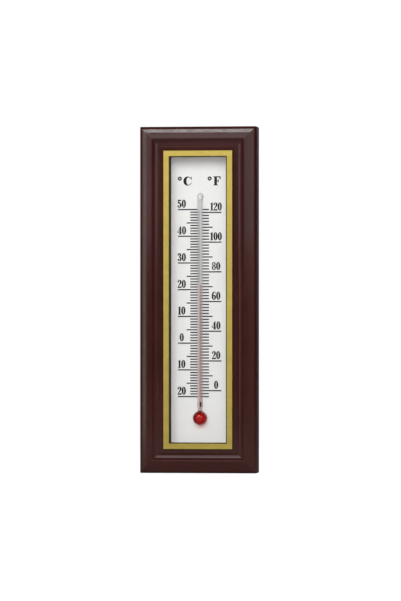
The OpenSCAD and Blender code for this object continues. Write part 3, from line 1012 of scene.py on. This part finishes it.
# The backdrop hangs behind the thermometer as the camera sees it, and fades out between two angles from there
BACKDROP_WAY = -CAMERA_PLACE.normalized()
BACKDROP_FULL = math.radians(7)
BACKDROP_END = math.radians(9)

# The floor glows near the thermometer and turns plain white between two distances in metres
FLOOR_HALF = 3
FLOOR_GAP = 0.02 * MM
FLOOR_GLOW = 0.84
FLOOR_NEAR = 0.2
FLOOR_FAR = 0.6


def place_camera():
    """The photograph's camera, a little to the right of the thermometer."""
    lens = bpy.data.cameras.new("camera")
    lens.sensor_width = FILM
    lens.lens = FOCAL_PIXELS / PICTURE_HEIGHT * FILM
    lens.clip_start = 0.01
    camera = bpy.data.objects.new("camera", lens)
    camera.location = CAMERA_PLACE
    camera.rotation_euler = Euler((math.radians(90) + CAMERA_PITCH, 0, CAMERA_YAW))
    bpy.context.scene.collection.objects.link(camera)
    bpy.context.scene.camera = camera


def way_to(azimuth, elevation):
    """The direction to a place round the thermometer. Azimuth 0 is in front of it and goes to the right."""
    turn = math.radians(azimuth)
    rise = math.radians(elevation)
    return Vector((math.sin(turn) * math.cos(rise), -math.cos(turn) * math.cos(rise), math.sin(rise)))


# Azimuth and elevation in degrees, distance, width and height in metres, and whether a gloss mirrors the lamp
LAMPS = {
    "front_light": (4, -6, 0.9, 0.1, 0.1, False),
    "top_light": (-4, 38, 1.2, 0.9, 0.6, False),
    "broad_light": (-6, 24, 0.8, 0.5, 0.36, True),
    "left_light": (-31, 18, 0.8, 0.38, 0.42, True),
    "right_light": (22, 18, 0.8, 0.54, 0.42, True),
    "strip_light": (-8, 42, 0.85, 0.5, 0.05, True),
    "back_light": (160, 35, 1.2, 0.6, 0.6, True),
    "side_light": (-44, 1, 0.8, 0.08, 0.5, True),
}


def softbox(name, power, azimuth, elevation, distance, wide, high, mirrored):
    """A soft lamp that faces the thermometer."""
    away = way_to(azimuth, elevation)
    lamp = bpy.data.lights.new(name, "AREA")
    lamp.shape = "RECTANGLE"
    lamp.size = wide
    lamp.size_y = high
    lamp.energy = power
    box = bpy.data.objects.new(name, lamp)
    box.location = (cad_low + cad_high) / 2 + away * distance
    box.rotation_euler = away.to_track_quat("Z", "Y").to_euler()
    box.visible_glossy = mirrored
    # Light that reaches the plate through the glass is already let through by the glass's own shader
    box.visible_transmission = False
    bpy.context.scene.collection.objects.link(box)


def by_angle(tree, direction, axis, inner, near, outer, far):
    """One value within the inner angle from an axis and another past the outer angle, with a fade between."""
    along = node(
        tree, "ShaderNodeVectorMath", {0: direction, 1: axis}, operation="DOT_PRODUCT"
    ).outputs["Value"]
    return spread(tree, along, near, far, math.cos(inner), math.cos(outer))


def backdrop_share(tree, direction):
    """One for the camera's own rays and for rays off a gloss or through glass that meet the backdrop."""
    path = node(tree, "ShaderNodeLightPath").outputs
    mirrored = node(
        tree,
        "ShaderNodeMath",
        {0: path["Is Glossy Ray"], 1: path["Is Transmission Ray"]},
        operation="MAXIMUM",
    ).outputs["Value"]
    hung = by_angle(tree, direction, BACKDROP_WAY, BACKDROP_FULL, 1, BACKDROP_END, 0)
    there = node(tree, "ShaderNodeMath", {0: mirrored, 1: hung}, operation="MULTIPLY").outputs["Value"]
    return node(
        tree, "ShaderNodeMath", {0: path["Is Camera Ray"], 1: there}, operation="MAXIMUM"
    ).outputs["Value"]


# The room is palest in a ring round the viewer. The viewer's own place is dim, and so are the sides and back
VIEWER_WAY = way_to(-8, 0)
VIEWER_DIM = 0.1
VIEWER_FULL = math.radians(20)
VIEWER_END = math.radians(38)
ROOM_PALE = math.radians(35)
ROOM_DARK = math.radians(75)
ROOM_BEHIND = 0.08


def light_room(strength):
    """A dim room, with a white backdrop that hangs behind the thermometer."""
    world = bpy.data.worlds.new("room")
    world.use_nodes = True
    tree = world.node_tree
    tree.nodes.clear()
    direction = node(tree, "ShaderNodeTexCoord").outputs["Generated"]
    walls = by_angle(tree, direction, VIEWER_WAY, ROOM_PALE, 1, ROOM_DARK, ROOM_BEHIND)
    viewer = by_angle(tree, direction, VIEWER_WAY, VIEWER_FULL, VIEWER_DIM, VIEWER_END, 1)
    share = node(tree, "ShaderNodeMath", {0: walls, 1: viewer}, operation="MULTIPLY").outputs["Value"]
    light = node(tree, "ShaderNodeMath", {0: share, 1: strength}, operation="MULTIPLY").outputs["Value"]
    room = node(tree, "ShaderNodeBackground", {"Color": (1, 1, 1, 1), "Strength": light})
    white = node(tree, "ShaderNodeBackground", {"Color": (1, 1, 1, 1), "Strength": 1.0})
    both = node(
        tree,
        "ShaderNodeMixShader",
        {
            "Fac": backdrop_share(tree, direction),
            1: room.outputs["Background"],
            2: white.outputs["Background"],
        },
    )
    node(tree, "ShaderNodeOutputWorld", {"Surface": both.outputs["Shader"]})
    bpy.context.scene.world = world


def pale_floor(colour):
    """White card. Near the thermometer it shows the shadow, and further off it is white as the backdrop."""
    material, tree, place = start_material("pale_floor")
    card = node(tree, "ShaderNodeBsdfDiffuse", {"Color": opaque(colour)}).outputs["BSDF"]
    glow = node(tree, "ShaderNodeEmission", {"Strength": FLOOR_GLOW}).outputs["Emission"]
    near = node(tree, "ShaderNodeAddShader", {0: card, 1: glow}).outputs["Shader"]
    far = node(tree, "ShaderNodeEmission", {"Strength": 1.0}).outputs["Emission"]
    away = node(tree, "ShaderNodeVectorMath", {0: place}, operation="LENGTH").outputs["Value"]
    share = spread(tree, away, 0, 1, FLOOR_NEAR, FLOOR_FAR)
    shown = node(tree, "ShaderNodeMixShader", {"Fac": share, 1: near, 2: far}).outputs["Shader"]
    way = node(tree, "ShaderNodeVectorMath", {0: place}, operation="NORMALIZE").outputs["Vector"]
    floor = node(
        tree, "ShaderNodeMixShader", {"Fac": backdrop_share(tree, way), 1: card, 2: shown}
    )
    end_material(tree, floor.outputs["Shader"])
    return material


def lay_floor(colour):
    """A plain pale floor under the thermometer, which keeps its shadow."""
    bm = bmesh.new()
    bmesh.ops.create_grid(bm, x_segments=1, y_segments=1, size=FLOOR_HALF)
    bmesh.ops.translate(bm, vec=(0, 0, cad_low.z - FLOOR_GAP), verts=bm.verts)
    mesh = bpy.data.meshes.new("floor")
    bm.to_mesh(mesh)
    bm.free()
    floor = bpy.data.objects.new("floor", mesh)
    bpy.context.scene.collection.objects.link(floor)
    give_material(floor, pale_floor(colour))


class OBJECT_OT_thermometer_stage(ThermometerOperator, bpy.types.Operator):
    """Set up the camera, the lamps, the room and the floor"""

    bl_idname = "object.thermometer_stage"
    bl_label = "Stage"

    def execute(self, context):
        settings = context.scene.thermometer_stage
        place_camera()
        for name, place in LAMPS.items():
            softbox(name, getattr(settings, name), *place)
        light_room(settings.room_light)
        lay_floor(settings.floor_colour)
        context.scene.view_settings.view_transform = "Standard"
        return {"FINISHED"}


OPERATORS = (
    OBJECT_OT_thermometer_frame,
    OBJECT_OT_thermometer_trim,
    OBJECT_OT_thermometer_plate,
    OBJECT_OT_thermometer_figures,
    OBJECT_OT_thermometer_tube,
    OBJECT_OT_thermometer_spirit,
    OBJECT_OT_thermometer_sleeve,
    OBJECT_OT_thermometer_foam,
    OBJECT_OT_thermometer_cover,
    OBJECT_OT_thermometer_screws,
    OBJECT_OT_thermometer_stage,
)

SETTINGS = {
    "thermometer_housing": ThermometerHousingSettings,
    "thermometer_scale": ThermometerScaleSettings,
    "thermometer_tube": ThermometerTubeSettings,
    "thermometer_stage": ThermometerStageSettings,
}


class VIEW3D_PT_thermometer(bpy.types.Panel):
    """Settings and steps of the wall thermometer"""

    bl_label = "Wall Thermometer"
    bl_idname = "VIEW3D_PT_thermometer"
    bl_space_type = "VIEW_3D"
    bl_region_type = "UI"
    bl_category = "Thermometer"

    def draw(self, context):
        for name in SETTINGS:
            group = getattr(context.scene, name)
            column = self.layout.column()
            for setting in group.bl_rna.properties:
                if setting.identifier not in ("rna_type", "name"):
                    column.prop(group, setting.identifier)
        for operator in OPERATORS:
            self.layout.operator(operator.bl_idname)


def register():
    for group in SETTINGS.values():
        bpy.utils.register_class(group)
    for name, group in SETTINGS.items():
        setattr(bpy.types.Scene, name, bpy.props.PointerProperty(type=group))
    for operator in OPERATORS:
        bpy.utils.register_class(operator)
    bpy.utils.register_class(VIEW3D_PT_thermometer)


def unregister():
    bpy.utils.unregister_class(VIEW3D_PT_thermometer)
    for operator in reversed(OPERATORS):
        bpy.utils.unregister_class(operator)
    for name, group in reversed(SETTINGS.items()):
        delattr(bpy.types.Scene, name)
        bpy.utils.unregister_class(group)


def main():
    register()
    for operator in OPERATORS:
        group, name = operator.bl_idname.split(".")
        getattr(getattr(bpy.ops, group), name)()


if __name__ == "__main__":
    main()
